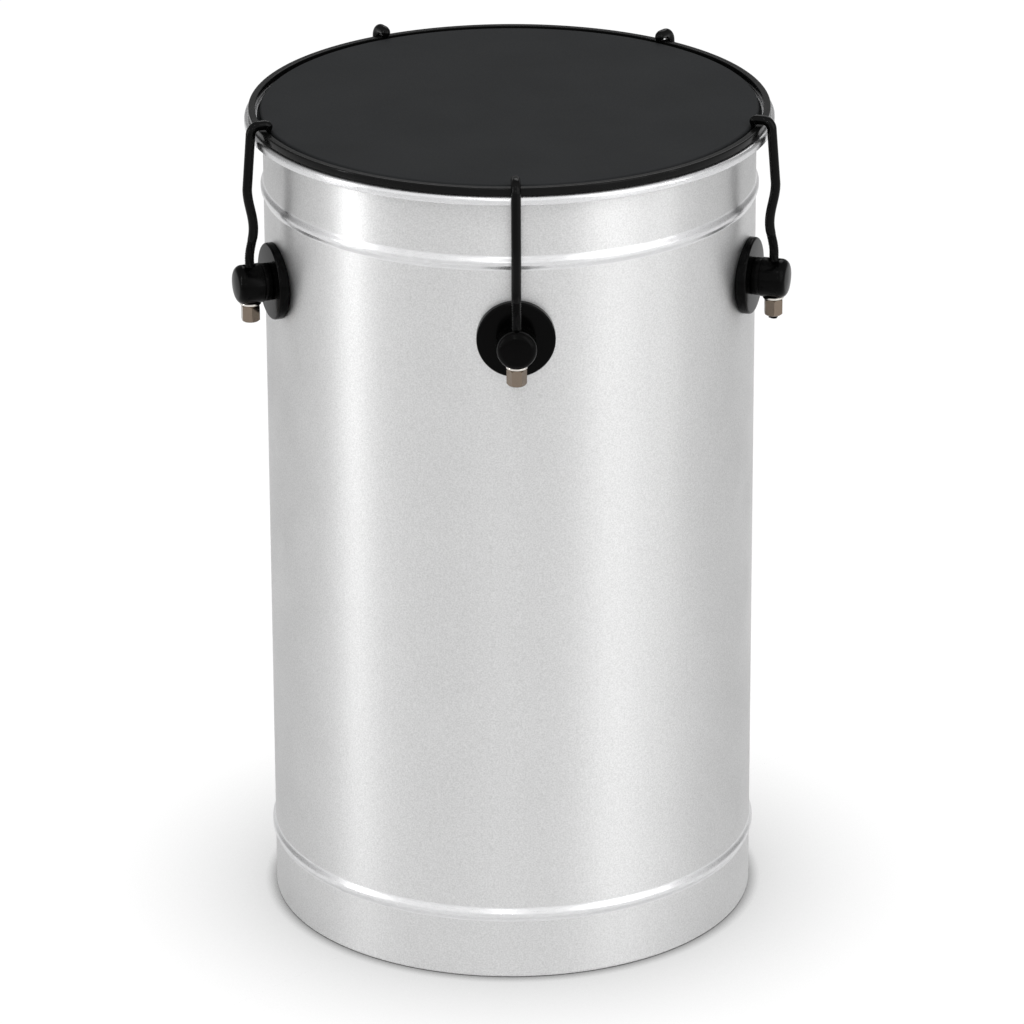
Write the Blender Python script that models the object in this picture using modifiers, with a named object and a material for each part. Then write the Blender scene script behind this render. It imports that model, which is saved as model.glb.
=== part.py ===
"""Tantan: an upright Brazilian hand drum with an open aluminium shell and one tunable head.

Metres, +Z up. The drum stands on z = 0 and the origin is the middle of its footprint's bounding box.
One of the five tuning pegs points to -Y, so the drum's own axis stands a little behind the origin.
"""

import math

import bmesh
import bpy
from mathutils import Vector

# Shell: rolled aluminium sheet with two swaged beads and both edges folded inwards
SHELL_DIAMETER = 0.300
SHELL_HEIGHT = 0.514
SHELL_WALL = 0.0020
HEM_HEIGHT = 0.0080
EDGE_ROUND = 0.0008
BEAD_HEIGHT = 0.0094
BEAD_DEPTH = 0.0018
UPPER_BEAD_FROM_TOP = 0.0476
LOWER_BEAD_FROM_BASE = 0.0427

# Head: synthetic leather skin, gripped in a C-shaped aluminium flesh hoop
SKIN_THICKNESS = 0.0012
SKIN_SHOULDER = 0.0018
SKIN_COLLAR_DROP = 0.0078
SKIN_GRIP = 0.0070
SKIN_EDGE_CLEARANCE = 0.0013
FLESH_HOOP_HEIGHT = 0.0051
FLESH_HOOP_WALL = 0.0012
FLESH_HOOP_ROUND = 0.0016
FLESH_HOOP_MOUTH = 0.0017

# Counterhoop: flat black steel hoop lying on the flesh hoop
COUNTER_HOOP_CLEARANCE = 0.0028
COUNTER_HOOP_WIDTH = 0.0042
COUNTER_HOOP_PROUD = 0.0004
COUNTER_HOOP_ROUND = 0.0012

# Hooks: bent steel rod with a tapered tip, threaded at the lower end
ROD_DIAMETER = 0.0055
HOOK_BEND_RADIUS = 0.0050
HOOK_TIP_DIAMETER = 0.0020
HOOK_TIP_REACH = 0.0032
HOOK_LEAN_DEGREES = 4.6
JOGGLE_TOP_ABOVE_PEG = 0.060
JOGGLE_WAIST_ABOVE_PEG = 0.035
JOGGLE_END_ABOVE_PEG = 0.0160
JOGGLE_WAIST_SETBACK = 0.0029
ROD_END_BELOW_NUT = 0.0025

# Tuning pegs: black moulded pegs on round backing discs, each held by one bolt from inside
PEG_BELOW_TOP = 0.094
PEG_DIAMETER = 0.024
PEG_LENGTH = 0.0210
PEG_END_ROUND = 0.0042
PEG_NECK_DIAMETER = 0.0230
PEG_NECK_LENGTH = 0.0045
PEG_FLAT_DEPTH = 0.0010
PEG_SOCKET_DEPTH = 0.0065
ROD_FROM_PEG_TIP = 0.0095
DISC_DIAMETER = 0.0470
DISC_THICKNESS = 0.0044
DISC_ROUND = 0.0014

# Tuning nuts and the bolts that hold the pegs
NUT_ACROSS_FLATS = 0.0105
NUT_HEIGHT = 0.0104
NUT_CHAMFER = 0.0009
NUT_WASHER_DIAMETER = 0.0130
NUT_WASHER_THICKNESS = 0.0014
BOLT_DIAMETER = 0.0060
BOLT_HEAD_ACROSS_FLATS = 0.0100
BOLT_HEAD_HEIGHT = 0.0039
BOLT_WASHER_DIAMETER = 0.0180
BOLT_WASHER_THICKNESS = 0.0015
BOLT_WASHER_SETBACK = 0.0009

# Clearances: between touching pieces, round a bolt, round the rod in its nut and in its peg
GAP = 0.0003
BOLT_CLEARANCE = 0.0003
NUT_BORE_CLEARANCE = 0.00055
PEG_BORE_CLEARANCE = 0.00075

# Where the pegs stand round the drum, in degrees from +X. The two rear ones are drilled closer together.
PEG_AZIMUTHS = {
    "front": -90.0,
    "right": -18.0,
    "rear_right": 51.0,
    "rear_left": 119.0,
    "left": -162.0,
}

# Smoothness of turned and round shapes
HOOP_STEPS = 60
PEG_STEPS = 18
DISC_STEPS = 28
SMALL_STEPS = 12
CUTTER_STEPS = 96
SHARP_ANGLE = math.radians(35)

# Levels and radii that follow from the sizes above
SHELL_RADIUS = SHELL_DIAMETER / 2
BORE_RADIUS = SHELL_RADIUS - SHELL_WALL
SKIN_TOP = SHELL_HEIGHT + GAP + SKIN_THICKNESS
SKIN_INNER_RADIUS = SHELL_RADIUS + GAP
SKIN_OUTER_RADIUS = SKIN_INNER_RADIUS + SKIN_THICKNESS
FLANGE_TOP = SKIN_TOP - SKIN_COLLAR_DROP + SKIN_THICKNESS
SKIN_EDGE_RADIUS = SKIN_OUTER_RADIUS + SKIN_GRIP
FLESH_HOOP_RADIUS = SKIN_EDGE_RADIUS + SKIN_EDGE_CLEARANCE + FLESH_HOOP_WALL
FLESH_HOOP_BOTTOM = FLANGE_TOP - SKIN_THICKNESS / 2 - FLESH_HOOP_HEIGHT / 2
FLESH_HOOP_TOP = FLESH_HOOP_BOTTOM + FLESH_HOOP_HEIGHT
COUNTER_HOOP_BORE = SKIN_OUTER_RADIUS + COUNTER_HOOP_CLEARANCE
COUNTER_HOOP_RADIUS = COUNTER_HOOP_BORE + COUNTER_HOOP_WIDTH
COUNTER_HOOP_BOTTOM = FLESH_HOOP_TOP + GAP
COUNTER_HOOP_TOP = SKIN_TOP + COUNTER_HOOP_PROUD
ROD_RADIUS = ROD_DIAMETER / 2
HOOK_LEG_RADIUS = FLESH_HOOP_RADIUS + GAP + ROD_RADIUS
HOOK_TOP = COUNTER_HOOP_TOP + GAP + ROD_RADIUS
HOOK_TIP_RADIUS = (SKIN_OUTER_RADIUS + COUNTER_HOOP_BORE) / 2
PEG_LEVEL = SHELL_HEIGHT - PEG_BELOW_TOP
DISC_FACE = SHELL_RADIUS + GAP + DISC_THICKNESS
PEG_BASE = DISC_FACE + GAP
PEG_TIP = PEG_BASE + PEG_LENGTH
ROD_AXIS_RADIUS = PEG_TIP - ROD_FROM_PEG_TIP
PEG_RADIUS = PEG_DIAMETER / 2
PEG_FLAT_LEVEL = PEG_LEVEL - PEG_RADIUS + PEG_FLAT_DEPTH
NUT_WASHER_TOP = PEG_FLAT_LEVEL - GAP
NUT_TOP = NUT_WASHER_TOP - NUT_WASHER_THICKNESS - GAP
NUT_BOTTOM = NUT_TOP - NUT_HEIGHT
ROD_END = NUT_BOTTOM - ROD_END_BELOW_NUT
NUT_BORE_RADIUS = ROD_RADIUS + NUT_BORE_CLEARANCE
PEG_BORE_RADIUS = ROD_RADIUS + PEG_BORE_CLEARANCE
BOLT_HOLE_RADIUS = BOLT_DIAMETER / 2 + BOLT_CLEARANCE
BOLT_WASHER_FACE = BORE_RADIUS - BOLT_WASHER_SETBACK
BOLT_HEAD_FACE = BOLT_WASHER_FACE - BOLT_WASHER_THICKNESS - GAP
BOLT_END = PEG_BASE + PEG_SOCKET_DEPTH - 2 * GAP

# The front peg reaches furthest to -Y and the flesh hoop to +Y, so the box's middle is off the axis.
AXIS_SETBACK = (PEG_TIP - FLESH_HOOP_RADIUS) / 2


def clear_scene():
    for obj in list(bpy.data.objects):
        bpy.data.objects.remove(obj)


def new_collection(name, hidden=False):
    collection = bpy.data.collections.new(name)
    collection.hide_render = hidden
    bpy.context.scene.collection.children.link(collection)
    return collection


def material(name, hex_colour, metallic, roughness):
    """A Principled material from an sRGB hex colour."""
    made = bpy.data.materials.new(name)
    made.use_nodes = True
    srgb = [int(hex_colour[i : i + 2], 16) / 255 for i in (0, 2, 4)]
    linear = [c / 12.92 if c <= 0.04045 else ((c + 0.055) / 1.055) ** 2.4 for c in srgb]
    shader = made.node_tree.nodes["Principled BSDF"]
    shader.inputs["Base Color"].default_value = (*linear, 1)
    shader.inputs["Metallic"].default_value = metallic
    shader.inputs["Roughness"].default_value = roughness
    made.diffuse_color = (*linear, 1)
    return made


def mesh_object(name, mesh, collection):
    obj = bpy.data.objects.new(name, mesh)
    collection.objects.link(obj)
    return obj


def baked(obj):
    """The object with its modifiers applied to its own mesh and its round faces shaded smooth."""
    bpy.context.view_layer.update()
    graph = bpy.context.evaluated_depsgraph_get()
    mesh = bpy.data.meshes.new_from_object(obj.evaluated_get(graph))
    mesh.name = obj.name
    obj.modifiers.clear()
    obj.data = mesh
    mesh.shade_smooth()
    mesh.set_sharp_from_angle(angle=SHARP_ANGLE)
    return obj


def turned(name, profile, steps, collection, ring):
    """Turns a profile of (radius, height) points about Z. A ring's profile is closed; any other ends on the axis."""
    mesh = bpy.data.meshes.new(name)
    form = bmesh.new()
    points = [form.verts.new((radius, 0, height)) for radius, height in profile]
    for first, second in zip(points, points[1:]):
        form.edges.new((first, second))
    if ring:
        form.edges.new((points[-1], points[0]))
    form.to_mesh(mesh)
    form.free()
    obj = mesh_object(name, mesh, collection)
    screw = obj.modifiers.new("Turn", "SCREW")
    screw.axis = "Z"
    screw.angle = math.tau
    screw.steps = steps
    screw.render_steps = steps
    screw.use_merge_vertices = True
    screw.merge_threshold = 0.00001
    return baked(obj)


def cylinder(name, radius, start, end, steps, collection, axis="Z", centre=(0, 0), end_radius=None):
    """A cylinder or cone along X or Z. The centre gives the other two coordinates, in X, Y, Z order."""
    mesh = bpy.data.meshes.new(name)
    form = bmesh.new()
    bmesh.ops.create_cone(
        form,
        cap_ends=True,
        segments=steps,
        radius1=radius,
        radius2=radius if end_radius is None else end_radius,
        depth=end - start,
    )
    if axis == "X":
        bmesh.ops.rotate(form, verts=form.verts, matrix=Vector((0, 0, 1)).rotation_difference((1, 0, 0)).to_matrix())
        offset = Vector(((start + end) / 2, *centre))
    else:
        offset = Vector((*centre, (start + end) / 2))
    bmesh.ops.translate(form, verts=form.verts, vec=offset)
    form.to_mesh(mesh)
    form.free()
    return mesh_object(name, mesh, collection)


def as_cutter(obj):
    obj.hide_render = True
    obj.display_type = "WIRE"
    return obj


def boolean(obj, other, operation):
    modifier = obj.modifiers.new(f"{operation.title()} {other.name}", "BOOLEAN")
    modifier.operation = operation
    modifier.solver = "EXACT"
    modifier.object = other


def arc(centre, radius, start, end, steps):
    """Points along a circular arc, with angles in degrees."""
    angles = [math.radians(start + (end - start) * i / steps) for i in range(steps + 1)]
    return [(centre[0] + radius * math.cos(a), centre[1] + radius * math.sin(a)) for a in angles]


def bead(level, radius, falling):
    """The bulge of a rolled bead on a wall of this radius, in three straight facets."""
    half, crest = BEAD_HEIGHT / 2, BEAD_HEIGHT / 5
    points = [
        (radius, level - half),
        (radius + BEAD_DEPTH, level - crest),
        (radius + BEAD_DEPTH, level + crest),
        (radius, level + half),
    ]
    return points[::-1] if falling else points


def hex_radius(across_flats):
    return across_flats / math.sqrt(3)


def make_shell(parts, cutters):
    upper = SHELL_HEIGHT - UPPER_BEAD_FROM_TOP
    lower = LOWER_BEAD_FROM_BASE
    hem_radius = BORE_RADIUS - SHELL_WALL
    top_round = SHELL_WALL
    profile = arc((SHELL_RADIUS - top_round, SHELL_HEIGHT - top_round), top_round, 90, 0, 3)
    profile += bead(upper, SHELL_RADIUS, falling=True)
    profile += bead(lower, SHELL_RADIUS, falling=True)
    profile += [(SHELL_RADIUS, EDGE_ROUND), (SHELL_RADIUS - EDGE_ROUND, 0), (hem_radius, 0)]
    profile += [(hem_radius, HEM_HEIGHT), (BORE_RADIUS, HEM_HEIGHT)]
    profile += bead(lower, BORE_RADIUS, falling=False)
    profile += bead(upper, BORE_RADIUS, falling=False)
    profile += [(BORE_RADIUS, SHELL_HEIGHT - HEM_HEIGHT), (hem_radius, SHELL_HEIGHT - HEM_HEIGHT)]
    profile += [(hem_radius, SHELL_HEIGHT - top_round), (hem_radius + EDGE_ROUND, SHELL_HEIGHT)]
    shell = turned("shell", profile, HOOP_STEPS, parts, ring=True)
    for place, azimuth in PEG_AZIMUTHS.items():
        hole = cylinder(
            f"bolt_hole_{place}",
            BOLT_HOLE_RADIUS,
            BORE_RADIUS - SHELL_WALL,
            SHELL_RADIUS + SHELL_WALL,
            SMALL_STEPS,
            cutters,
            axis="X",
        )
        hole.location.z = PEG_LEVEL
        hole.rotation_euler.z = math.radians(azimuth)
        boolean(shell, as_cutter(hole), "DIFFERENCE")
    return [shell]


def make_skin(parts):
    """The skin lies on the bearing edge, turns down over the shell and runs out into the flesh hoop."""
    shoulder = SKIN_SHOULDER
    inside = shoulder - SKIN_THICKNESS
    underside = SKIN_TOP - SKIN_THICKNESS
    profile = [(0, SKIN_TOP)]
    profile += arc((SKIN_OUTER_RADIUS - shoulder, SKIN_TOP - shoulder), shoulder, 90, 0, 4)
    profile += [(SKIN_OUTER_RADIUS, FLANGE_TOP), (SKIN_EDGE_RADIUS, FLANGE_TOP)]
    profile += [(SKIN_EDGE_RADIUS, FLANGE_TOP - SKIN_THICKNESS), (SKIN_INNER_RADIUS, FLANGE_TOP - SKIN_THICKNESS)]
    profile += arc((SKIN_INNER_RADIUS - inside, underside - inside), inside, 0, 90, 2)
    profile += [(0, underside)]
    return [turned("head_skin", profile, HOOP_STEPS, parts, ring=False)]


def make_flesh_hoop(parts):
    """A C of sheet aluminium that opens inwards and holds the skin's edge."""
    outside = FLESH_HOOP_RADIUS
    mouth = SKIN_OUTER_RADIUS + FLESH_HOOP_MOUTH
    wall = FLESH_HOOP_WALL
    top, bottom, bend = FLESH_HOOP_TOP, FLESH_HOOP_BOTTOM, FLESH_HOOP_ROUND
    profile = [(mouth, top)]
    profile += arc((outside - bend, top - bend), bend, 90, 0, 3)
    profile += [(outside, bottom + bend / 2), (outside - bend / 2, bottom), (mouth, bottom)]
    profile += [(mouth, bottom + wall), (outside - wall, bottom + wall), (outside - wall, top - wall)]
    profile += [(mouth, top - wall)]
    return [turned("flesh_hoop", profile, HOOP_STEPS, parts, ring=True)]


def make_counter_hoop(parts):
    outside, inside, bend = COUNTER_HOOP_RADIUS, COUNTER_HOOP_BORE, COUNTER_HOOP_ROUND
    top, bottom = COUNTER_HOOP_TOP, COUNTER_HOOP_BOTTOM
    foot = bend / 2
    profile = arc((outside - bend, top - bend), bend, 90, 0, 3)
    profile += [(outside, bottom + foot), (outside - foot, bottom), (inside + foot, bottom)]
    profile += [(inside, bottom + foot)]
    profile += arc((inside + bend, top - bend), bend, 180, 90, 2)
    return [turned("counter_hoop", profile, HOOP_STEPS, parts, ring=True)]


def eased(start, end, steps):
    """Points of a smooth S between two (radius, height) points, without the first."""
    shares = [i / steps for i in range(1, steps + 1)]
    return [
        (start[0] + (end[0] - start[0]) * (1 - math.cos(math.pi * t)) / 2, start[1] + (end[1] - start[1]) * t)
        for t in shares
    ]


def hook_tip():
    """The rod's tapered tip as (radius, height, thickness): it turns down between counterhoop and skin."""
    end = COUNTER_HOOP_TOP - HOOK_TIP_REACH
    shares = ((0.0, 0.0, 0.0), (0.0, 0.35, 0.0), (0.12, 0.66, 0.25), (0.4, 0.88, 0.7), (0.8, 0.98, 0.95))
    across = COUNTER_HOOP_BORE - HOOK_TIP_RADIUS + ROD_RADIUS / 2
    thicker = ROD_RADIUS - HOOK_TIP_DIAMETER / 2
    return [
        (HOOK_TIP_RADIUS + across * out, end + (HOOK_TOP - end) * up, HOOK_TIP_DIAMETER / 2 + thicker * thick)
        for out, up, thick in shares
    ]


def hook_route():
    """The rod's centre line as (radius, height, thickness), from its tip over the hoops to the threaded end."""
    bend_centre = (HOOK_LEG_RADIUS - HOOK_BEND_RADIUS, HOOK_TOP - HOOK_BEND_RADIUS)
    lean = math.tan(math.radians(HOOK_LEAN_DEGREES))
    joggle_top = PEG_LEVEL + JOGGLE_TOP_ABOVE_PEG
    shoulder = (HOOK_LEG_RADIUS + (bend_centre[1] - joggle_top) * lean, joggle_top)
    waist = (ROD_AXIS_RADIUS - JOGGLE_WAIST_SETBACK, PEG_LEVEL + JOGGLE_WAIST_ABOVE_PEG)
    foot = (ROD_AXIS_RADIUS, PEG_LEVEL + JOGGLE_END_ABOVE_PEG)
    line = arc(bend_centre, HOOK_BEND_RADIUS, 90, 0, 6)
    line += [shoulder]
    line += eased(shoulder, waist, 5)
    line += eased(waist, foot, 5)
    line += [(ROD_AXIS_RADIUS, ROD_END)]
    return hook_tip() + [(radius, height, ROD_RADIUS) for radius, height in line]


def make_hooks(parts):
    """One hook is swept at azimuth 0, made a mesh and shared."""
    curve = bpy.data.curves.new("hook_rod", "CURVE")
    curve.dimensions = "3D"
    curve.bevel_depth = 1.0
    curve.bevel_resolution = 2
    curve.use_fill_caps = True
    route = hook_route()
    spline = curve.splines.new("POLY")
    spline.points.add(len(route) - 1)
    for point, (radius, height, thickness) in zip(spline.points, route):
        point.co = (radius, 0, height, 1)
        point.radius = thickness
    rod_curve = mesh_object("hook_rod_curve", curve, parts)
    bpy.context.view_layer.update()
    graph = bpy.context.evaluated_depsgraph_get()
    rod_mesh = bpy.data.meshes.new_from_object(rod_curve.evaluated_get(graph))
    bpy.data.objects.remove(rod_curve)
    form = bmesh.new()
    form.from_mesh(rod_mesh)
    bmesh.ops.remove_doubles(form, verts=form.verts, dist=0.00001)
    form.to_mesh(rod_mesh)
    form.free()
    return copies(baked(mesh_object("hook_front", rod_mesh, parts)), "hook", parts)


def copies(first, stem, parts, location=(0, 0, 0), tilt=0.0, radius=0.0):
    """Places one piece at every azimuth, sharing its mesh. The first object becomes the front one."""
    made = []
    for place, azimuth in PEG_AZIMUTHS.items():
        turn = math.radians(azimuth)
        obj = first if place == "front" else mesh_object(f"{stem}_{place}", first.data, parts)
        obj.name = f"{stem}_{place}"
        obj.location = Vector(location) + Vector((radius * math.cos(turn), radius * math.sin(turn), 0))
        obj.rotation_euler = (0, tilt, turn)
        made.append(obj)
    return made


def make_pegs(parts, cutters):
    """Turned about its own axis, which points away from the drum. Local heights are distances from the drum's axis."""
    neck_end = PEG_BASE + PEG_NECK_LENGTH
    neck = PEG_NECK_DIAMETER / 2
    profile = [(0, PEG_TIP)]
    profile += arc((PEG_RADIUS - PEG_END_ROUND, PEG_TIP - PEG_END_ROUND), PEG_END_ROUND, 90, 0, 4)
    profile += [(PEG_RADIUS, neck_end + EDGE_ROUND), (PEG_RADIUS - EDGE_ROUND, neck_end), (neck, neck_end)]
    profile += [(neck, PEG_BASE), (0, PEG_BASE)]
    peg = turned("peg_front", profile, PEG_STEPS, parts, ring=False)
    reach = PEG_RADIUS * 1.5
    rod_hole = cylinder(
        "peg_rod_hole", PEG_BORE_RADIUS, -reach, reach, SMALL_STEPS, cutters, "X", (0, ROD_AXIS_RADIUS)
    )
    socket = cylinder(
        "peg_socket", BOLT_HOLE_RADIUS, PEG_BASE - PEG_RADIUS, PEG_BASE + PEG_SOCKET_DEPTH, SMALL_STEPS, cutters
    )
    flat = cylinder(
        "peg_flat", PEG_RADIUS, PEG_RADIUS - PEG_FLAT_DEPTH, reach, CUTTER_STEPS // 4, cutters, "X", (0, ROD_AXIS_RADIUS)
    )
    for cutter in (rod_hole, socket, flat):
        boolean(peg, as_cutter(cutter), "DIFFERENCE")
    baked(peg)
    return copies(peg, "peg", parts, location=(0, 0, PEG_LEVEL), tilt=math.pi / 2)


def make_discs(parts, cutters):
    """A round backing disc with a hollowed back that follows the shell."""
    radius, bend = DISC_DIAMETER / 2, DISC_ROUND
    sagitta = SHELL_RADIUS - math.sqrt(SHELL_RADIUS**2 - radius**2)
    back = SHELL_RADIUS - sagitta - DISC_THICKNESS
    profile = [(0, DISC_FACE)]
    profile += arc((radius - bend, DISC_FACE - bend), bend, 90, 0, 3)
    profile += [(radius, back), (0, back)]
    disc = turned("peg_disc_front", profile, DISC_STEPS, parts, ring=False)
    hollow_radius = (SHELL_RADIUS + GAP) / math.cos(math.pi / CUTTER_STEPS)
    hollow = cylinder("disc_hollow", hollow_radius, -DISC_DIAMETER, DISC_DIAMETER, CUTTER_STEPS, cutters, "X")
    hole = cylinder("disc_bolt_hole", BOLT_HOLE_RADIUS, BORE_RADIUS, PEG_BASE, SMALL_STEPS, cutters)
    for cutter in (hollow, hole):
        boolean(disc, as_cutter(cutter), "DIFFERENCE")
    baked(disc)
    return copies(disc, "peg_disc", parts, location=(0, 0, PEG_LEVEL), tilt=math.pi / 2)


def make_nuts(parts, cutters):
    """A tall hexagon nut, chamfered at both ends by turning away its corners."""
    corner = hex_radius(NUT_ACROSS_FLATS)
    half = NUT_HEIGHT / 2
    nut = cylinder("tuning_nut_front", corner, -half, half, 6, parts)
    edge = corner - NUT_CHAMFER
    fall = NUT_CHAMFER * 0.6
    envelope = turned(
        "nut_envelope",
        [(0, half), (edge, half), (corner, half - fall), (corner, fall - half), (edge, -half), (0, -half)],
        PEG_STEPS,
        cutters,
        ring=False,
    )
    bore = cylinder("nut_bore", NUT_BORE_RADIUS, -NUT_HEIGHT, NUT_HEIGHT, SMALL_STEPS, cutters)
    boolean(nut, as_cutter(envelope), "INTERSECT")
    boolean(nut, as_cutter(bore), "DIFFERENCE")
    baked(nut)
    return copies(nut, "tuning_nut", parts, location=(0, 0, NUT_TOP - half), radius=ROD_AXIS_RADIUS)


def washer(name, outer, inner, thickness, steps, parts):
    half = thickness / 2
    profile = [(inner, half), (outer, half), (outer, -half), (inner, -half)]
    return turned(name, profile, steps, parts, ring=True)


def make_nut_washers(parts):
    ring = washer(
        "nut_washer_front",
        NUT_WASHER_DIAMETER / 2,
        NUT_BORE_RADIUS,
        NUT_WASHER_THICKNESS,
        PEG_STEPS,
        parts,
    )
    level = NUT_WASHER_TOP - NUT_WASHER_THICKNESS / 2
    return copies(ring, "nut_washer", parts, location=(0, 0, level), radius=ROD_AXIS_RADIUS)


def make_bolts(parts, cutters):
    """A hexagon-headed bolt from inside the drum, through washer, shell and disc into the peg."""
    head_start = BOLT_HEAD_FACE - BOLT_HEAD_HEIGHT
    bolt = cylinder(
        "peg_bolt_front", hex_radius(BOLT_HEAD_ACROSS_FLATS), head_start, BOLT_HEAD_FACE, 6, parts
    )
    shank = cylinder(
        "bolt_shank", BOLT_DIAMETER / 2, BOLT_HEAD_FACE - BOLT_HEAD_HEIGHT / 2, BOLT_END, SMALL_STEPS, cutters
    )
    boolean(bolt, as_cutter(shank), "UNION")
    baked(bolt)
    return copies(bolt, "peg_bolt", parts, location=(0, 0, PEG_LEVEL), tilt=math.pi / 2)


def make_bolt_washers(parts):
    ring = washer(
        "bolt_washer_front",
        BOLT_WASHER_DIAMETER / 2,
        BOLT_HOLE_RADIUS,
        BOLT_WASHER_THICKNESS,
        PEG_STEPS,
        parts,
    )
    centre = BOLT_WASHER_FACE - BOLT_WASHER_THICKNESS / 2
    return copies(
        ring, "bolt_washer", parts, location=(0, 0, PEG_LEVEL), tilt=math.pi / 2, radius=centre
    )


def main():
    clear_scene()
    parts = new_collection("tantan")
    cutters = new_collection("cutters", hidden=True)
    axis = bpy.data.objects.new("drum_axis", None)
    axis.location.y = AXIS_SETBACK
    parts.objects.link(axis)

    satin_aluminium = material("satin rolled aluminium", "C9CACB", 1.0, 0.38)
    bright_aluminium = material("bright formed aluminium", "D6D7D8", 1.0, 0.22)
    leather = material("black synthetic leather", "2E2F31", 0.0, 0.72)
    coated_steel = material("black coated steel hoop", "151516", 0.0, 0.45)
    enamel = material("black enamelled rod", "0B0B0C", 0.0, 0.22)
    moulding = material("black moulded nylon", "0F0F10", 0.0, 0.36)
    nickel = material("nickel-plated steel", "BDB5AB", 1.0, 0.20)
    zinc = material("zinc-plated steel", "A9ABAE", 1.0, 0.32)

    finished = (
        (make_shell(parts, cutters), satin_aluminium),
        (make_skin(parts), leather),
        (make_flesh_hoop(parts), bright_aluminium),
        (make_counter_hoop(parts), coated_steel),
        (make_hooks(parts), enamel),
        (make_pegs(parts, cutters), moulding),
        (make_discs(parts, cutters), moulding),
        (make_nuts(parts, cutters), nickel),
        (make_nut_washers(parts), nickel),
        (make_bolts(parts, cutters), zinc),
        (make_bolt_washers(parts), zinc),
    )
    for pieces, finish in finished:
        for piece in pieces:
            piece.parent = axis
            piece.data.materials.clear()
            piece.data.materials.append(finish)
    for cutter in cutters.objects:
        cutter.parent = axis


main()
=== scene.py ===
"""Tantan: the finished look of an upright hand drum with an aluminium shell and a black skin."""

import math

import bmesh
import bpy
from mathutils import Matrix, Vector


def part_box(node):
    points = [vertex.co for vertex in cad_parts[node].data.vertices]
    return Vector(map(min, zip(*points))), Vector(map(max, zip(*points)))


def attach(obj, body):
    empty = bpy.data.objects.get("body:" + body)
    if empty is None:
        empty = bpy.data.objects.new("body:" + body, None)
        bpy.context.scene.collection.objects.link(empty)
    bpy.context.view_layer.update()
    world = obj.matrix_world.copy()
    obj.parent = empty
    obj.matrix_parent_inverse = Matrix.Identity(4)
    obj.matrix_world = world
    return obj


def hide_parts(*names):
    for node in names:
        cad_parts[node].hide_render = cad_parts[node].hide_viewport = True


bl_info = {
    "name": "Tantan",
    "version": (1, 1, 0),
    "blender": (4, 5, 0),
    "location": "3D Viewport > Sidebar > Tantan",
    "description": "Builds the surfaces, finishes and studio of a tantan round its packed model",
    "category": "Object",
}

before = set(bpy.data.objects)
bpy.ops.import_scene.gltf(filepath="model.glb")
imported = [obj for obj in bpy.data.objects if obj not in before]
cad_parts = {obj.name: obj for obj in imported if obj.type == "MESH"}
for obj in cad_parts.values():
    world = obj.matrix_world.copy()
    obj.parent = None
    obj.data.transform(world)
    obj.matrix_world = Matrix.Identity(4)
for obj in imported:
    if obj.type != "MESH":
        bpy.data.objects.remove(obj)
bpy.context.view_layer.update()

MM = 0.001
TAU = math.tau
SHARP_ANGLE = math.radians(32)

# The drum's axis, from the shell's own box
SHELL_LOW, SHELL_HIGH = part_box("shell")
AXIS = Vector(((SHELL_LOW.x + SHELL_HIGH.x) / 2, (SHELL_LOW.y + SHELL_HIGH.y) / 2, 0))

# Each peg's place round the drum, and how far its nut was left turned, in degrees
PEG_AZIMUTHS = {"front": -90, "right": -18, "rear_right": 51, "rear_left": 119, "left": -162}
NUT_TURNS = {"front": 0, "right": 20, "rear_right": 8, "rear_left": 33, "left": 52}

# How far each rod's end stands out below its nut, in millimetres
SPARE_THREADS = {"front": 0.2, "right": 2.5, "rear_right": 1.8, "rear_left": 0.9, "left": 0.3}


def length(name, description, default):
    return bpy.props.FloatProperty(name=name, description=description, default=default, unit="LENGTH", precision=5)


def colour(name, description, hex_value):
    return bpy.props.StringProperty(name=name, description=description, default=hex_value)


def angle(name, description, degrees):
    return bpy.props.FloatProperty(
        name=name, description=description, default=math.radians(degrees), subtype="ANGLE"
    )


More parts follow.
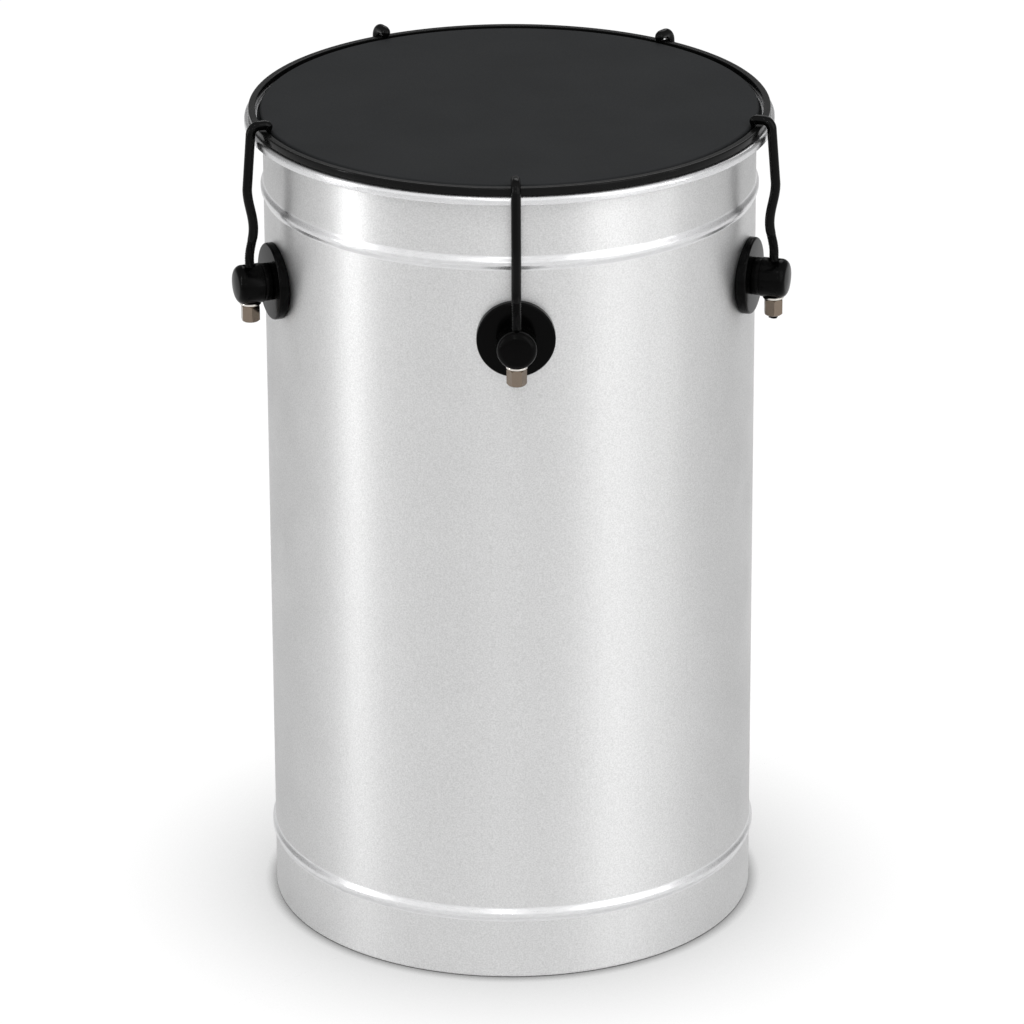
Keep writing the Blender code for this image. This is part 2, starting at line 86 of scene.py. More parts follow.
class TantanSizes(bpy.types.PropertyGroup):
    shell_radius: length("Shell radius", "Outer radius of the plain shell wall", 150 * MM)
    shell_wall: length("Shell wall", "Thickness of the aluminium sheet", 2.0 * MM)
    hem_height: length("Hem height", "Height of the folded edges inside", 8.0 * MM)
    bead_height: length("Bead height", "Height of a swaged bead", 9.4 * MM)
    bead_depth: length("Bead depth", "How far a bead stands out", 1.8 * MM)
    upper_bead_from_top: length("Upper bead", "From the bearing edge down to the upper bead", 47.6 * MM)
    lower_bead_from_base: length("Lower bead", "From the floor up to the lower bead", 42.7 * MM)
    skin_thickness: length("Skin thickness", "Thickness of the skin", 1.2 * MM)
    skin_shoulder: length("Skin shoulder", "Outer radius of the skin's turned edge", 1.8 * MM)
    flesh_wall: length("Flesh hoop wall", "Sheet thickness of the flesh hoop", 1.2 * MM)
    flesh_mouth: length("Flesh hoop mouth", "Gap between the skin's collar and the hoop's lips", 1.7 * MM)
    hoop_width: length("Counterhoop width", "Radial width of the black hoop", 4.2 * MM)
    rod_radius: length("Rod radius", "Radius of a hook's coated rod", 2.95 * MM)
    hook_bend: length("Hook bend", "Radius of the rod's bend over the hoop, at its centre line", 5.5 * MM)
    thread_pitch: length("Thread pitch", "Height of one turn of the rod's thread", 1.0 * MM)
    thread_depth: length("Thread depth", "Depth of the rod's thread", 0.5 * MM)
    thread_above_peg: length("Thread above peg", "From the pegs' level up to the thread's end", 29.0 * MM)
    peg_radius: length("Peg radius", "Radius of a moulded peg", 12.0 * MM)
    peg_round: length("Peg rounding", "Rounding of a peg's end", 4.6 * MM)
    disc_round: length("Disc rounding", "Rounding of a backing disc's face", 1.4 * MM)
    nut_flats: length("Nut across flats", "Width of a tuning nut", 10.5 * MM)
    bolt_flats: length("Bolt head across flats", "Width of a peg bolt's head", 10.0 * MM)


class TantanColours(bpy.types.PropertyGroup):
    aluminium: colour("Aluminium", "Bead-blasted and rolled aluminium", "D2D2D2")
    bright_aluminium: colour("Bright aluminium", "Burnished aluminium of beads and flesh hoop", "DCDCDD")
    skin: colour("Skin", "Black synthetic leather", "272829")
    coating: colour("Hoop coating", "Black coating on the steel hoop", "0A0A0A")
    enamel: colour("Rod enamel", "Black enamel on the hooks", "030303")
    nylon: colour("Peg nylon", "Black moulded nylon", "020202")
    # The nuts' nickel is set darker and browner than the washers' nickel: a painted reflection of a dark, warm room on
    # the hex faces.
    nickel: colour("Nickel", "Nickel plating on the nuts", "7E7266")
    washer: colour("Washer", "Bright nickel plating on the washers", "D8D4CE")
    zinc: colour("Zinc", "Bright zinc plating on the inner bolts", "B4B6B8")
    floor: colour("Floor", "Plain pale studio floor", "F2F2F2")


class TantanStage(bpy.types.PropertyGroup):
    camera_distance: length("Camera distance", "From the drum's axis, along the floor", 3.6)
    camera_height: length("Camera height", "Above the floor", 1.7085)
    camera_side: length("Camera side step", "How far the camera stands beside its line", 0.0005)
    camera_azimuth: angle("Camera azimuth", "Seen from above, from straight in front", -1.25)
    camera_pitch: angle("Camera pitch", "Downwards from level", 22.08)
    camera_roll: angle("Camera roll", "About the line of sight", -0.247)
    camera_lens: bpy.props.FloatProperty(name="Lens", description="Focal length in mm", default=219.4)
    front_air: bpy.props.FloatProperty(name="Front air", description="Light from the room's front", default=1.12)
    back_air: bpy.props.FloatProperty(name="Back air", description="Light from the room's back", default=0.33)
    # Painted shadow: how fast the floor's painted dark ring deepens beside the drum's foot.
    painted_floor_shadow: bpy.props.FloatProperty(
        name="Floor shadow", description="How fast the floor darkens beside the drum's foot", default=0.6
    )


def sizes():
    return bpy.context.scene.tantan_sizes


def colours():
    return bpy.context.scene.tantan_colours


def linear(hex_value, shade=1.0):
    """An sRGB hex colour as linear RGBA, lighter or darker by the given share."""
    srgb = [int(hex_value[i : i + 2], 16) / 255 for i in (0, 2, 4)]
    return (*(shade * (c / 12.92 if c <= 0.04045 else ((c + 0.055) / 1.055) ** 2.4) for c in srgb), 1.0)


def add_node(tree, kind, settings=None, inputs=None, output=0):
    """Adds one node and returns one of its outputs. An input is a value, or a socket that is linked to it."""
    node = tree.nodes.new(kind)
    for name, value in (settings or {}).items():
        setattr(node, name, value)
    for name, value in (inputs or {}).items():
        if isinstance(value, bpy.types.NodeSocket):
            tree.links.new(value, node.inputs[name])
        else:
            node.inputs[name].default_value = value
    return node.outputs[output]


def new_material(name, **settings):
    """A Principled material with these sockets set, and its tree, a function to link a socket, and coordinates."""
    made = bpy.data.materials.new(name)
    made.use_nodes = True
    tree = made.node_tree
    shader = tree.nodes["Principled BSDF"]
    for socket, value in settings.items():
        shader.inputs[socket.replace("_", " ").title().replace("Ior", "IOR")].default_value = value

    def link(socket, value):
        tree.links.new(value, shader.inputs[socket])

    return made, tree, link, add_node(tree, "ShaderNodeTexCoord", output="Object")


def rolled_metal(name, stretch):
    """A metal rolled round the drum: its fine grooves draw each highlight out, up and down the drum."""
    made, tree, link, place = new_material(name, metallic=1.0, anisotropic=stretch, anisotropic_rotation=0.25)
    link("Tangent", add_node(tree, "ShaderNodeTangent", {"direction_type": "RADIAL", "axis": "Z"}))
    return made, tree, link, place


def blasted_aluminium(hex_value):
    """Rolled aluminium sheet, bead-blasted: a soft sheen in upright bands, broken up by pits about 0.9 mm wide."""
    made, tree, link, place = rolled_metal("bead-blasted rolled aluminium", 0.8)
    pits = add_node(tree, "ShaderNodeTexNoise", inputs={"Vector": place, "Scale": 1 / (0.9 * MM), "Detail": 2.0})
    grit = add_node(tree, "ShaderNodeTexNoise", inputs={"Vector": place, "Scale": 1 / (0.4 * MM), "Detail": 1.0})
    clouds = add_node(tree, "ShaderNodeTexNoise", inputs={"Vector": place, "Scale": 1 / (40 * MM), "Detail": 2.0})
    depth = add_node(tree, "ShaderNodeMapRange", inputs={"Value": pits, "From Min": 0.3, "From Max": 0.7})
    tone = add_node(
        tree,
        "ShaderNodeMix",
        {"data_type": "RGBA"},
        {"Factor": depth, "A": linear(hex_value, 0.88), "B": linear(hex_value, 1.1)},
        "Result",
    )
    rough = add_node(
        tree,
        "ShaderNodeMapRange",
        inputs={"Value": clouds, "From Min": 0.3, "From Max": 0.7, "To Min": 0.42, "To Max": 0.48},
    )
    both = add_node(tree, "ShaderNodeMath", {"operation": "ADD"}, {0: pits, 1: grit})
    link("Base Color", tone)
    link("Roughness", rough)
    link("Normal", add_node(tree, "ShaderNodeBump", inputs={"Height": both, "Distance": 0.02 * MM, "Strength": 0.5}))
    return made


def burnished_aluminium(name, hex_value, smooth, dull):
    """Aluminium burnished by the rollers that formed it: bright, with hairlines about 0.4 mm apart round the drum."""
    made, tree, link, place = rolled_metal(name, 0.6)
    along = add_node(tree, "ShaderNodeMapping", inputs={"Vector": place, "Scale": (0.08, 0.08, 1)})
    lines = add_node(tree, "ShaderNodeTexNoise", inputs={"Vector": along, "Scale": 1 / (0.4 * MM), "Detail": 3.0})
    scuffs = add_node(tree, "ShaderNodeTexNoise", inputs={"Vector": place, "Scale": 1 / (0.7 * MM), "Detail": 2.0})
    wear = add_node(tree, "ShaderNodeMapRange", inputs={"Value": lines, "From Min": 0.3, "From Max": 0.7})
    tone = add_node(
        tree,
        "ShaderNodeMix",
        {"data_type": "RGBA"},
        {"Factor": wear, "A": linear(hex_value, 0.9), "B": linear(hex_value, 1.04)},
        "Result",
    )
    rough = add_node(
        tree,
        "ShaderNodeMapRange",
        inputs={"Value": scuffs, "From Min": 0.35, "From Max": 0.65, "To Min": smooth, "To Max": dull},
    )
    link("Base Color", tone)
    link("Roughness", rough)
    link("Normal", add_node(tree, "ShaderNodeBump", inputs={"Height": lines, "Distance": 0.01 * MM, "Strength": 0.4}))
    return made


def synthetic_leather(hex_value):
    """Polyurethane leather on cloth: matt charcoal, embossed with a fine pebble of about 0.8 mm."""
    made, tree, link, place = new_material("matt synthetic leather", ior=1.45, specular_ior_level=0.05)
    pebble = add_node(
        tree, "ShaderNodeTexVoronoi", {"feature": "F1"}, {"Vector": place, "Scale": 1 / (0.8 * MM)}, "Distance"
    )
    clouds = add_node(tree, "ShaderNodeTexNoise", inputs={"Vector": place, "Scale": 1 / (50 * MM), "Detail": 3.0})
    tone = add_node(
        tree,
        "ShaderNodeMix",
        {"data_type": "RGBA"},
        {"Factor": clouds, "A": linear(hex_value, 0.85), "B": linear(hex_value, 1.15)},
        "Result",
    )
    rough = add_node(
        tree,
        "ShaderNodeMapRange",
        inputs={"Value": pebble, "From Min": 0.0, "From Max": 0.6, "To Min": 0.62, "To Max": 0.75},
    )
    link("Base Color", tone)
    link("Roughness", rough)
    link("Normal", add_node(tree, "ShaderNodeBump", inputs={"Height": pebble, "Distance": 0.03 * MM, "Strength": 0.4}))
    return made


def black_finish(name, hex_value, roughness, peel_size, peel_depth, specular):
    """A black coat or moulding: an uneven gloss over a fine orange-peel of the given size."""
    made, tree, link, place = new_material(name, ior=1.5, specular_ior_level=specular)
    peel = add_node(tree, "ShaderNodeTexNoise", inputs={"Vector": place, "Scale": 1 / peel_size, "Detail": 2.0})
    rubbed = add_node(tree, "ShaderNodeTexNoise", inputs={"Vector": place, "Scale": 1 / (9 * MM), "Detail": 3.0})
    tone = add_node(
        tree,
        "ShaderNodeMix",
        {"data_type": "RGBA"},
        {"Factor": peel, "A": linear(hex_value, 0.6), "B": linear(hex_value, 1.5)},
        "Result",
    )
    rough = add_node(
        tree,
        "ShaderNodeMapRange",
        inputs={
            "Value": rubbed,
            "From Min": 0.3,
            "From Max": 0.7,
            "To Min": roughness * 0.85,
            "To Max": roughness * 1.2,
        },
    )
    link("Base Color", tone)
    link("Roughness", rough)
    link("Normal", add_node(tree, "ShaderNodeBump", inputs={"Height": peel, "Distance": peel_depth, "Strength": 0.5}))
    return made


def plated_steel(name, hex_value, roughness):
    """Machined and plated steel: a bright metal coat over faint tool marks about 0.3 mm apart."""
    made, tree, link, place = new_material(name, metallic=1.0)
    cut = add_node(tree, "ShaderNodeMapping", inputs={"Vector": place, "Scale": (1, 1, 0.2)})
    marks = add_node(tree, "ShaderNodeTexNoise", inputs={"Vector": cut, "Scale": 1 / (0.3 * MM), "Detail": 2.0})
    tone = add_node(
        tree,
        "ShaderNodeMix",
        {"data_type": "RGBA"},
        {"Factor": marks, "A": linear(hex_value, 0.85), "B": linear(hex_value, 1.1)},
        "Result",
    )
    rough = add_node(
        tree,
        "ShaderNodeMapRange",
        inputs={
            "Value": marks,
            "From Min": 0.3,
            "From Max": 0.7,
            "To Min": roughness * 0.8,
            "To Max": roughness * 1.3,
        },
    )
    link("Base Color", tone)
    link("Roughness", rough)
    link("Normal", add_node(tree, "ShaderNodeBump", inputs={"Height": marks, "Distance": 0.01 * MM, "Strength": 0.4}))
    return made


def arc(centre, radius, start, end, steps):
    """Points along an arc, with angles in degrees."""
    angles = [math.radians(start + (end - start) * i / steps) for i in range(steps + 1)]
    return [(centre[0] + radius * math.cos(a), centre[1] + radius * math.sin(a)) for a in angles]


def bead(level, radius, height, depth, falling):
    """A rolled bead: a flat-topped cosine bump on a wall of this radius."""
    steps = 20
    points = []
    for i in range(steps + 1):
        share = i / steps - 0.5
        points.append((radius + depth * min(1.0, (1 + math.cos(TAU * share)) / 1.8), level + share * height))
    return points[::-1] if falling else points


def turned_mesh(name, profile, steps, ring=True):
    """Turns a profile of (radius, height) points about Z. A profile that isn't a ring ends on the axis."""
    mesh = bpy.data.meshes.new(name)
    form = bmesh.new()
    verts = [form.verts.new((radius, 0, height)) for radius, height in profile]
    edges = [form.edges.new(pair) for pair in zip(verts, verts[1:])]
    if ring:
        edges.append(form.edges.new((verts[-1], verts[0])))
    bmesh.ops.spin(
        form, geom=verts + edges, axis=(0, 0, 1), cent=(0, 0, 0), angle=TAU, steps=steps, use_merge=True
    )
    bmesh.ops.remove_doubles(form, verts=form.verts, dist=0.000005)
    bmesh.ops.recalc_face_normals(form, faces=form.faces)
    form.to_mesh(mesh)
    form.free()
    return mesh


def smoothed(mesh):
    mesh.shade_smooth()
    mesh.set_sharp_from_angle(angle=SHARP_ANGLE)
    return mesh


def new_piece(name, mesh, *materials):
    """An object at the origin with this mesh and these materials."""
    obj = bpy.data.objects.new(name, mesh)
    bpy.context.scene.collection.objects.link(obj)
    if materials:
        mesh.materials.clear()
    for made in materials:
        mesh.materials.append(made)
    return obj


def plain_mesh(obj):
    """The object's mesh with its modifiers worked in, and the object itself removed."""
    bpy.context.view_layer.update()
    graph = bpy.context.evaluated_depsgraph_get()
    mesh = bpy.data.meshes.new_from_object(obj.evaluated_get(graph))
    bpy.data.objects.remove(obj)
    return mesh


def cut_mesh(mesh, *cutters):
    """The mesh after Boolean cuts or intersections with other meshes, given as (operation, mesh)."""
    body = new_piece(mesh.name, mesh)
    tools = []
    for operation, tool_mesh in cutters:
        tools.append(new_piece(f"{mesh.name}_tool", tool_mesh))
        modifier = body.modifiers.new(operation.title(), "BOOLEAN")
        modifier.operation = operation
        modifier.solver = "EXACT"
        modifier.object = tools[-1]
    done = plain_mesh(body)
    for tool in tools:
        bpy.data.objects.remove(tool)
    return smoothed(done)


def moved_mesh(mesh, matrix):
    """The same mesh, moved in place."""
    mesh.transform(matrix)
    mesh.update()
    return mesh


def finish_piece(piece, body, slot, *nodes):
    """Puts a finished piece on its body, in place of its nodes."""
    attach(piece, body)
    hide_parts(*nodes)


def geometry_tree(name, *inputs):
    """An empty Geometry Nodes tree with these named inputs, each with its kind of socket, and its input node."""
    tree = bpy.data.node_groups.new(name, "GeometryNodeTree")
    tree.interface.new_socket("Geometry", in_out="OUTPUT", socket_type="NodeSocketGeometry")
    tree.interface.new_socket("Geometry", in_out="INPUT", socket_type="NodeSocketGeometry")
    for label, kind in inputs:
        tree.interface.new_socket(label, in_out="INPUT", socket_type=f"NodeSocket{kind}")
    return tree, tree.nodes.new("NodeGroupInput").outputs


def close_tree(tree, geometry, material):
    """Ends a tree in Realize Instances and Set Material."""
    real = add_node(tree, "GeometryNodeRealizeInstances", inputs={"Geometry": geometry})
    dressed = add_node(tree, "GeometryNodeSetMaterial", inputs={"Geometry": real, "Material": material})
    tree.links.new(dressed, tree.nodes.new("NodeGroupOutput").inputs["Geometry"])
    return tree


def grown(name, mesh, tree, **values):
    """Runs a tree on a mesh with these values for its named inputs, and returns the result as a plain mesh."""
    obj = new_piece(name, mesh)
    modifier = obj.modifiers.new(tree.name, "NODES")
    modifier.node_group = tree
    for socket in tree.interface.items_tree:
        key = socket.name.lower().replace(" ", "_")
        if socket.in_out == "INPUT" and key in values:
            modifier[socket.identifier] = values[key]
    return plain_mesh(obj)


def fittings_tree():
    """Stands one fitting at each point, turned to the point's azimuth."""
    tree, given = geometry_tree("Fittings round the drum", ("Fitting", "Object"), ("Material", "Material"))
    azimuth = add_node(
        tree, "GeometryNodeInputNamedAttribute", {"data_type": "FLOAT"}, {"Name": "azimuth"}, "Attribute"
    )
    turn = add_node(tree, "ShaderNodeCombineXYZ", inputs={"Z": azimuth})
    fitting = add_node(tree, "GeometryNodeObjectInfo", inputs={"Object": given["Fitting"]}, output="Geometry")
    copies = add_node(
        tree,
        "GeometryNodeInstanceOnPoints",
        inputs={"Points": given["Geometry"], "Instance": fitting, "Rotation": turn},
    )
    return close_tree(tree, copies, given["Material"])


def round_the_drum(name, mesh, made, places=tuple(PEG_AZIMUTHS)):
    """Copies a fitting, built at azimuth 0 about the drum's axis, to the named places."""
    tree = bpy.data.node_groups.get("Fittings round the drum") or fittings_tree()
    fitting = new_piece(f"{name}_pattern", mesh)
    points = bpy.data.meshes.new(f"{name}_places")
    points.from_pydata([AXIS] * len(places), [], [])
    turns = points.attributes.new("azimuth", "FLOAT", "POINT")
    turns.data.foreach_set("value", [math.radians(PEG_AZIMUTHS[place]) for place in places])
    done = grown(name, points, tree, fitting=fitting, material=made)
    bpy.data.objects.remove(fitting)
    return new_piece(name, smoothed(done))


def front_reach(node):
    """The front copy's span of distances from the drum's axis, and of heights."""
    low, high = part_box(f"{node}_front")
    return AXIS.y - high.y, AXIS.y - low.y, low.z, high.z


def peg_level():
    low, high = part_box("peg_disc_front")
    return (low.z + high.z) / 2


def rod_distance():
    """From the drum's axis to a rod's threaded stretch, which runs through the nut's middle."""
    near, far, low, high = front_reach("tuning_nut")
    return (near + far) / 2


def outwards(level):
    """Turns a piece's own +Z to +X, at this height."""
    return Matrix.Translation((0, 0, level)) @ Matrix.Rotation(math.pi / 2, 4, "Y")


class TANTAN_OT_shell(bpy.types.Operator):
    """Builds the rolled shell with its two beads and folded edges"""

    bl_idname = "tantan.shell"
    bl_label = "Build shell"

    def execute(self, context):
        s = sizes()
        top = SHELL_HIGH.z
        upper, lower = top - s.upper_bead_from_top, s.lower_bead_from_base
        outside, bore = s.shell_radius, s.shell_radius - s.shell_wall
        hem = bore - s.shell_wall
        edge = s.shell_wall
        lip = 0.4 * edge
        profile = arc((outside - edge, top - edge), edge, 90, 0, 8)
        profile += bead(upper, outside, s.bead_height, s.bead_depth, True)
        profile += bead(lower, outside, s.bead_height, s.bead_depth, True)
        profile += arc((outside - edge, edge), edge, 0, -90, 8)
        profile += arc((hem + lip, lip), lip, 270, 180, 4)
        profile += [(hem, s.hem_height - lip), (hem + lip, s.hem_height), (bore, s.hem_height)]
        profile += bead(lower, bore, s.bead_height, s.bead_depth, False)
        profile += bead(upper, bore, s.bead_height, s.bead_depth, False)
        profile += [(bore, top - s.hem_height), (hem + lip, top - s.hem_height), (hem, top - s.hem_height + lip)]
        profile += arc((hem + lip, top - lip), lip, 180, 90, 4)
        satin = blasted_aluminium(colours().aluminium)
        bright = burnished_aluminium("burnished aluminium bead", colours().bright_aluminium, 0.27, 0.36)
        mesh = smoothed(moved_mesh(turned_mesh("shell_wall", profile, 256), Matrix.Translation(AXIS)))
        shell = new_piece("shell_wall", mesh, satin, bright)
        for face in mesh.polygons:
            outer = math.hypot(face.center.x - AXIS.x, face.center.y - AXIS.y) > outside - edge / 2
            on_bead = min(abs(face.center.z - upper), abs(face.center.z - lower)) < s.bead_height / 2
            face.material_index = 1 if outer and on_bead else 0
        finish_piece(shell, "drum", "shell_aluminium", "shell")
        return {"FINISHED"}


class TANTAN_OT_head(bpy.types.Operator):
    """Builds the skin and the flesh hoop that grips its edge"""

    bl_idname = "tantan.head"
    bl_label = "Build head"

    def execute(self, context):
        s = sizes()
        low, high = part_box("head_skin")
        hoop_low, hoop_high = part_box("flesh_hoop")
        inner = s.shell_radius + 0.3 * MM
        outer = inner + s.skin_thickness
        top, under = high.z, high.z - s.skin_thickness
        shoulder, inside = s.skin_shoulder, s.skin_shoulder - s.skin_thickness
        flange_top = low.z + s.skin_thickness
        flange_end = (high.x - low.x) / 2
        profile = [((outer - shoulder) * i / 24, top) for i in range(25)]
        profile += arc((outer - shoulder, top - shoulder), shoulder, 90, 0, 8)[1:]
        profile += [(outer, flange_top), (flange_end, flange_top), (flange_end, low.z), (inner, low.z)]
        profile += arc((inner - inside, under - inside), inside, 0, 90, 4)
        profile += [(0, under)]
        mesh = moved_mesh(turned_mesh("drum_skin", profile, 192, ring=False), Matrix.Translation(AXIS))
        skin = new_piece("drum_skin", smoothed(mesh), synthetic_leather(colours().skin))
        finish_piece(skin, "head", "black_skin", "head_skin")

        outside = (hoop_high.x - hoop_low.x) / 2
        mouth = outer + s.flesh_mouth
        wall, bend, foot = s.flesh_wall, 2.2 * MM, 0.9 * MM
        top, bottom = hoop_high.z, hoop_low.z
        profile = [(mouth, top)]
        profile += arc((outside - bend, top - bend), bend, 90, 0, 12)
        profile += arc((outside - foot, bottom + foot), foot, 0, -90, 6)
        profile += [(mouth, bottom), (mouth, bottom + wall), (outside - wall, bottom + wall)]
        profile += [(outside - wall, top - wall), (mouth, top - wall)]
        mesh = moved_mesh(turned_mesh("flesh_hoop_rim", profile, 256), Matrix.Translation(AXIS))
        bright = burnished_aluminium("formed and burnished aluminium hoop", colours().bright_aluminium, 0.26, 0.34)
        hoop = new_piece("flesh_hoop_rim", smoothed(mesh), bright)
        finish_piece(hoop, "head", "hoop_aluminium", "flesh_hoop")
        return {"FINISHED"}


class TANTAN_OT_counter_hoop(bpy.types.Operator):
    """Builds the flat black counterhoop"""

    bl_idname = "tantan.counter_hoop"
    bl_label = "Build counterhoop"

    def execute(self, context):
        low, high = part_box("counter_hoop")
        outside = (high.x - low.x) / 2
        inside = outside - sizes().hoop_width
        bend, fine = 0.9 * MM, 0.5 * MM
        profile = arc((outside - bend, high.z - bend), bend, 90, 0, 8)
        profile += arc((outside - fine, low.z + fine), fine, 0, -90, 4)
        profile += arc((inside + fine, low.z + fine), fine, 270, 180, 4)
        profile += arc((inside + fine, high.z - fine), fine, 180, 90, 4)
        made = black_finish("black epoxy-coated steel", colours().coating, 0.16, 0.6 * MM, 0.003 * MM, 0.1)
        mesh = moved_mesh(turned_mesh("counter_hoop_ring", profile, 256), Matrix.Translation(AXIS))
        finish_piece(new_piece("counter_hoop_ring", smoothed(mesh), made), "hoop", "black_hoop", "counter_hoop")
        return {"FINISHED"}


def eased(start, end, steps):
    """Points of a smooth S between two (distance, height, thickness) points, without the first."""
    points = []
    for i in range(1, steps + 1):
        share = i / steps
        swing = (1 - math.cos(math.pi * share)) / 2
        points.append((start[0] + (end[0] - start[0]) * swing, start[1] + (end[1] - start[1]) * share, start[2]))
    return points


def hook_route(end):
    """A hook's centre line as (distance, height, thickness), from its tip behind the hoop to its threaded end."""
    s = sizes()
    hoop_low, hoop_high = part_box("counter_hoop")
    flesh_low, flesh_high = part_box("flesh_hoop")
    near, far, low, top = front_reach("hook")
    rod = s.rod_radius
    crown = top + 0.8 * MM - rod
    leg = (flesh_high.x - flesh_low.x) / 2 + 0.3 * MM + rod
    behind = (hoop_high.x - hoop_low.x) / 2 - s.hoop_width - 1.4 * MM
    across = leg - s.hook_bend
    nose, slim = 3.2 * MM, 1.45 * MM
    nose_centre = (behind + nose - 0.6 * MM, crown - nose)
    route = [(behind, hoop_high.z - 3.2 * MM, 1.0 * MM), (behind - 0.4 * MM, hoop_high.z, 1.15 * MM)]
    for i, (distance, height) in enumerate(arc(nose_centre, nose, 180, 90, 15)):
        swell = math.sin(math.pi / 2 * min(1.0, i / 9))
        route.append((distance, height, slim + (rod - slim) * swell))
    bend_centre = (across, crown - s.hook_bend)
    route += [(distance, height, rod) for distance, height in arc(bend_centre, s.hook_bend, 90, 0, 16)[1:]]
    level, straight = peg_level(), rod_distance()
    lean = math.tan(math.radians(4.6))
    shoulder = (leg + (bend_centre[1] - level - 60 * MM) * lean, level + 60 * MM, rod)
    waist = (straight - 2.9 * MM, level + 35 * MM, rod)
    foot = (straight, level + 16 * MM, rod)
    route += [shoulder] + eased(shoulder, waist, 16) + eased(waist, foot, 16)
    route += [(straight, end + 0.6 * MM, rod), (straight, end, rod - 0.5 * MM)]
    return route


def rod_tree():
    """Sweeps a rod along a line and cuts a thread into it below a height. The line's points hold its thickness."""
    tree, given = geometry_tree(
        "Threaded rod",
        ("Sides", "Int"),
        ("Step", "Float"),
        ("Pitch", "Float"),
        ("Depth", "Float"),
        ("Thread top", "Float"),
        ("Material", "Material"),
    )
    line = add_node(tree, "GeometryNodeMeshToCurve", inputs={"Mesh": given["Geometry"]})
    even = add_node(
        tree, "GeometryNodeResampleCurve", {"mode": "LENGTH"}, {"Curve": line, "Length": given["Step"]}
    )
    along = add_node(tree, "GeometryNodeSplineParameter", output="Length")
    marked = tree.nodes.new("GeometryNodeCaptureAttribute")
    marked.capture_items.new("FLOAT", "along")
    tree.links.new(even, marked.inputs["Geometry"])
    tree.links.new(along, marked.inputs["along"])
    thickness = add_node(
        tree, "GeometryNodeInputNamedAttribute", {"data_type": "FLOAT"}, {"Name": "thickness"}, "Attribute"
    )
    circle = add_node(
        tree, "GeometryNodeCurvePrimitiveCircle", {"mode": "RADIUS"}, {"Resolution": given["Sides"], "Radius": 1.0}
    )
    about = add_node(tree, "GeometryNodeSplineParameter", output="Factor")
    rounded = tree.nodes.new("GeometryNodeCaptureAttribute")
    rounded.capture_items.new("FLOAT", "about")
    tree.links.new(circle, rounded.inputs["Geometry"])
    tree.links.new(about, rounded.inputs["about"])
    rod = add_node(
        tree,
        "GeometryNodeCurveToMesh",
        inputs={
            "Curve": marked.outputs["Geometry"],
            "Profile Curve": rounded.outputs["Geometry"],
            "Scale": thickness,
            "Fill Caps": True,
        },
    )
    turns = add_node(
        tree, "ShaderNodeMath", {"operation": "DIVIDE"}, {0: marked.outputs["along"], 1: given["Pitch"]}
    )
    wound = add_node(
        tree, "ShaderNodeMath", {"operation": "SUBTRACT"}, {0: turns, 1: rounded.outputs["about"]}
    )
    groove = add_node(tree, "ShaderNodeMath", {"operation": "PINGPONG"}, {0: wound, 1: 0.5})
    height = add_node(
        tree,
        "ShaderNodeSeparateXYZ",
        inputs={"Vector": add_node(tree, "GeometryNodeInputPosition")},
        output="Z",
    )
    below = add_node(tree, "ShaderNodeMath", {"operation": "SUBTRACT"}, {0: given["Thread top"], 1: height})
    run_out = add_node(
        tree,
        "ShaderNodeMapRange",
        {"interpolation_type": "SMOOTHSTEP"},
        {"Value": below, "From Min": 0.0, "From Max": 2 * MM, "To Min": 0.0, "To Max": -2.0},
    )
    cut = add_node(tree, "ShaderNodeMath", {"operation": "MULTIPLY"}, {0: groove, 1: run_out})
    deep = add_node(tree, "ShaderNodeMath", {"operation": "MULTIPLY"}, {0: cut, 1: given["Depth"]})
    inwards = add_node(
        tree,
        "ShaderNodeVectorMath",
        {"operation": "SCALE"},
        {"Vector": add_node(tree, "GeometryNodeInputNormal"), "Scale": deep},
    )
    threaded = add_node(tree, "GeometryNodeSetPosition", inputs={"Geometry": rod, "Offset": inwards})
    return close_tree(tree, threaded, given["Material"])


class TANTAN_OT_hooks(bpy.types.Operator):
    """Sweeps the five bent rods and cuts their threads"""

    bl_idname = "tantan.hooks"
    bl_label = "Build hooks"

    def execute(self, context):
        s = sizes()
        tree = rod_tree()
        made = black_finish("black enamelled steel rod", colours().enamel, 0.12, 1.2 * MM, 0.003 * MM, 0.1)
        near, far, nut_low, nut_high = front_reach("tuning_nut")
        for place, azimuth in PEG_AZIMUTHS.items():
            route = hook_route(nut_low - SPARE_THREADS[place] * MM)
            turn = math.radians(azimuth)
            away = Vector((math.cos(turn), math.sin(turn), 0))
            line = bpy.data.meshes.new(f"{place}_hook_line")
            points = [AXIS + away * distance + Vector((0, 0, height)) for distance, height, thickness in route]
            line.from_pydata(points, [(i, i + 1) for i in range(len(points) - 1)], [])
            line.attributes.new("thickness", "FLOAT", "POINT").data.foreach_set("value", [p[2] for p in route])
            mesh = grown(
                f"{place}_hook_line",
                line,
                tree,
                sides=28,
                step=0.14 * MM,
                pitch=s.thread_pitch,
                depth=s.thread_depth,
                thread_top=peg_level() + s.thread_above_peg,
                material=made,
            )
            hook = new_piece(f"{place}_hook_rod", smoothed(mesh))
            finish_piece(hook, f"{place}_hook", "black_rod", f"hook_{place}")
        return {"FINISHED"}


